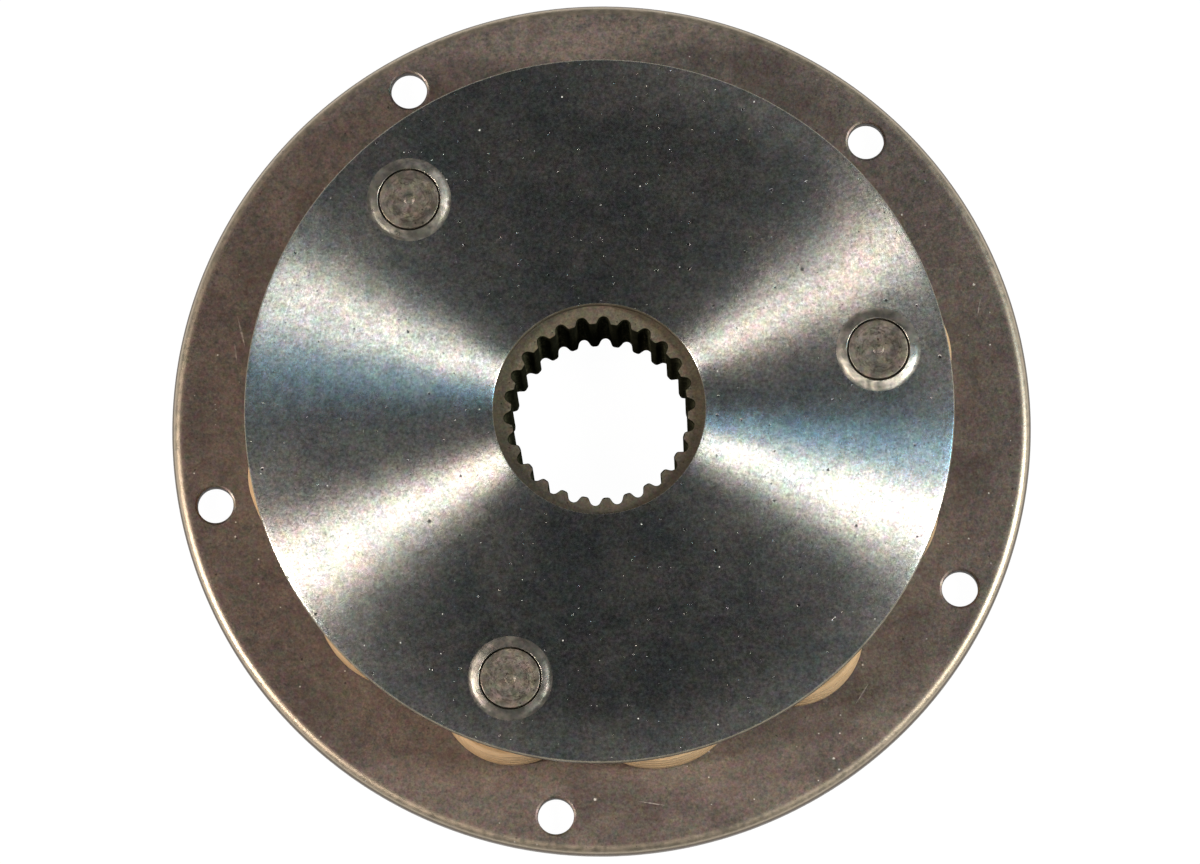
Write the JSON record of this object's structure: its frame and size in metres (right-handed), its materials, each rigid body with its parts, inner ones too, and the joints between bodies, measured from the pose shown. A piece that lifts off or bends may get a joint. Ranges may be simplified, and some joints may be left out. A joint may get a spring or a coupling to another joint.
{
  "type": "torsional coupling disc",
  "caption": "Round coupling disc with a bolted steel flange, a lobed polymer ring and a splined hub behind a plated steel disc.",
  "frame": {"origin": "centre of the hub's rear end, on the coupling's axis, at the lowest face", "axes": "+Z along the coupling's axis from the flywheel side to the front disc; the first front rivet stands 12 degrees from +X towards +Y"},
  "size_m": [0.2, 0.2, 0.0369],
  "materials": {
    "flange_steel": "brown oiled sheet steel, slightly mottled",
    "disc_zinc": "turned steel, bright zinc plated with a faint blue and pink tint",
    "hub_steel": "machined steel, lightly oiled, dark inside the teeth",
    "rivet_steel": "cold formed steel, dull",
    "sleeve_steel": "turned steel, plain",
    "polymer": "moulded cream polymer, matte"
  },
  "bodies": {
    "flange_side": {"flange_plate": "flange_steel", "flex_ring": "polymer", "flange_rivet_1": "rivet_steel", "flange_rivet_2": "rivet_steel", "flange_rivet_3": "rivet_steel", "flange_sleeve_1": "sleeve_steel", "flange_sleeve_2": "sleeve_steel", "flange_sleeve_3": "sleeve_steel", "flange_washer_1": "sleeve_steel", "flange_washer_2": "sleeve_steel", "flange_washer_3": "sleeve_steel"},
    "hub_side": {"splined_hub": "hub_steel", "front_disc": "disc_zinc", "hub_rivet_1": "rivet_steel", "hub_rivet_2": "rivet_steel", "hub_rivet_3": "rivet_steel", "hub_sleeve_1": "sleeve_steel", "hub_sleeve_2": "sleeve_steel", "hub_sleeve_3": "sleeve_steel", "hub_washer_1": "sleeve_steel", "hub_washer_2": "sleeve_steel", "hub_washer_3": "sleeve_steel"}
  },
  "joints": [
    {"name": "wind_up", "type": "hinge", "parent": "flange_side", "child": "hub_side", "pos_m": [0, 0, 0.0174], "axis": [0, 0, 1], "range_deg": [-6, 6], "stiffness_Nm_per_rad": 30, "deforming": ["flex_ring"]}
  ]
}
